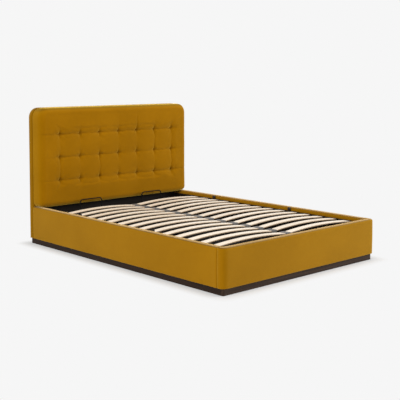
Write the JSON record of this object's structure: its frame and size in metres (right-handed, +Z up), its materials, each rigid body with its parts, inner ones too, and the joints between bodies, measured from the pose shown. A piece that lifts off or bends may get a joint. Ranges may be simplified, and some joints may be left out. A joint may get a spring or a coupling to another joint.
{
  "type": "ottoman bed",
  "caption": "Upholstered ottoman bed frame with a tufted headboard, a dark plinth and a slatted platform that lifts on gas struts over a storage base.",
  "frame": {"origin": "on the floor under the middle of the bed", "axes": "+Y runs from the foot to the headboard, +X across the bed, +Z up"},
  "size_m": [1.49, 2.14, 1.048],
  "materials": {
    "velvet": "mustard cotton velvet",
    "board": "raw particle board",
    "dark_wood": "dark stained wood, satin",
    "floor_board": "black faced hardboard",
    "pine": "planed pine",
    "beech": "laminated beech, matt lacquer",
    "black_steel": "black powder coat",
    "zinc": "zinc plated",
    "chrome": "hard chrome",
    "holder_plastic": "grey polypropylene",
    "black_plastic": "black nylon",
    "rubber": "black rubber"
  },
  "bodies": {
    "base": {"base_pins": "zinc", "bearer_feet": "pine", "centre_bearer": "pine", "corner_bolts": "zinc", "corner_brackets": "black_steel", "floor_batten_left": "pine", "floor_batten_right": "pine", "floor_panel_left": "floor_board", "floor_panel_right": "floor_board", "foot_rail_core": "board", "foot_rail_cover": "velvet", "head_liner": "floor_board", "headboard_backing_core": "board", "headboard_backing_cover": "velvet", "headboard_pad": "velvet", "lift_plate_left": "black_steel", "lift_plate_right": "black_steel", "lift_plate_screws": "zinc", "plinth_foot": "dark_wood", "plinth_head": "dark_wood", "plinth_side_left": "dark_wood", "plinth_side_right": "dark_wood", "rest_brackets": "black_steel", "rest_pads": "rubber", "side_rail_core_left": "board", "side_rail_core_right": "board", "side_rail_cover_left": "velvet", "side_rail_cover_right": "velvet"},
    "lift_arm_left": {"lift_arm_left": "black_steel"},
    "link_arm_left": {"link_arm_left": "black_steel"},
    "strut_cylinder_left": {"strut_cylinder_left": "black_steel"},
    "strut_rod_left": {"strut_rod_left": "chrome"},
    "lift_arm_right": {"lift_arm_right": "black_steel"},
    "link_arm_right": {"link_arm_right": "black_steel"},
    "strut_cylinder_right": {"strut_cylinder_right": "black_steel"},
    "strut_rod_right": {"strut_rod_right": "chrome"},
    "platform": {"bracket_bolts": "zinc", "frame_centre_tube": "black_steel", "frame_cross_tubes": "black_steel", "frame_foot_tube": "black_steel", "frame_head_tube": "black_steel", "frame_side_left": "black_steel", "frame_side_right": "black_steel", "hoop_clamps": "black_steel", "mattress_hoop_left": "black_steel", "mattress_hoop_right": "black_steel", "platform_bracket_left": "black_steel", "platform_bracket_right": "black_steel", "platform_pins": "zinc", "side_buffers": "black_plastic", "slat_holders_centre": "holder_plastic", "slat_holders_left": "holder_plastic", "slat_holders_right": "holder_plastic", "slats_left": "beech", "slats_right": "beech", "tube_caps": "black_plastic"}
  },
  "joints": [
    {"name": "platform_lift", "type": "hinge", "parent": "base", "child": "lift_arm_left", "pos_m": [-0.6785, 0.4979, 0.19], "axis": [1, 0, 0], "range_deg": [0, 70.5]},
    {"name": "platform_tilt", "type": "hinge", "parent": "lift_arm_left", "child": "platform", "pos_m": [-0.6785, 0.7425, 0.205], "axis": [1, 0, 0], "range_deg": [-108.7, 0]},
    {"name": "lift_arm_right_turn", "type": "hinge", "parent": "base", "child": "lift_arm_right", "pos_m": [0.6785, 0.4979, 0.19], "axis": [1, 0, 0], "range_deg": [0, 70.7]},
    {"name": "link_arm_left_turn", "type": "hinge", "parent": "base", "child": "link_arm_left", "pos_m": [-0.6707, 0.3811, 0.1044], "axis": [1, 0, 0], "range_deg": [0, 58.7]},
    {"name": "strut_cylinder_left_turn", "type": "hinge", "parent": "base", "child": "strut_cylinder_left", "pos_m": [-0.648, 0.6224, 0.074], "axis": [1, 0, 0], "range_deg": [0, 66.7]},
    {"name": "strut_rod_left_slide", "type": "slide", "parent": "strut_cylinder_left", "child": "strut_rod_left", "axis": [0, 0.8776, 0.4793], "range_m": [0, 0.079]},
    {"name": "link_arm_right_turn", "type": "hinge", "parent": "base", "child": "link_arm_right", "pos_m": [0.6707, 0.3811, 0.1044], "axis": [1, 0, 0], "range_deg": [0, 58.7]},
    {"name": "strut_cylinder_right_turn", "type": "hinge", "parent": "base", "child": "strut_cylinder_right", "pos_m": [0.648, 0.6224, 0.074], "axis": [1, 0, 0], "range_deg": [0, 66.7]},
    {"name": "strut_rod_right_slide", "type": "slide", "parent": "strut_cylinder_right", "child": "strut_rod_right", "axis": [0, 0.8776, 0.4793], "range_m": [0, 0.079]}
  ],
  "couplings": [
    {"joint": "platform_tilt", "follows": "platform_lift", "ratio": -1.5388},
    {"joint": "lift_arm_right_turn", "follows": "platform_lift", "ratio": 1},
    {"joint": "link_arm_left_turn", "follows": "platform_lift", "ratio": 0.82998},
    {"joint": "strut_cylinder_left_turn", "follows": "platform_lift", "ratio": 0.94344},
    {"joint": "strut_rod_left_slide", "follows": "platform_lift", "m_per_rad": 0.063825},
    {"joint": "link_arm_right_turn", "follows": "platform_lift", "ratio": 0.82998},
    {"joint": "strut_cylinder_right_turn", "follows": "platform_lift", "ratio": 0.94344},
    {"joint": "strut_rod_right_slide", "follows": "platform_lift", "m_per_rad": 0.063825}
  ]
}
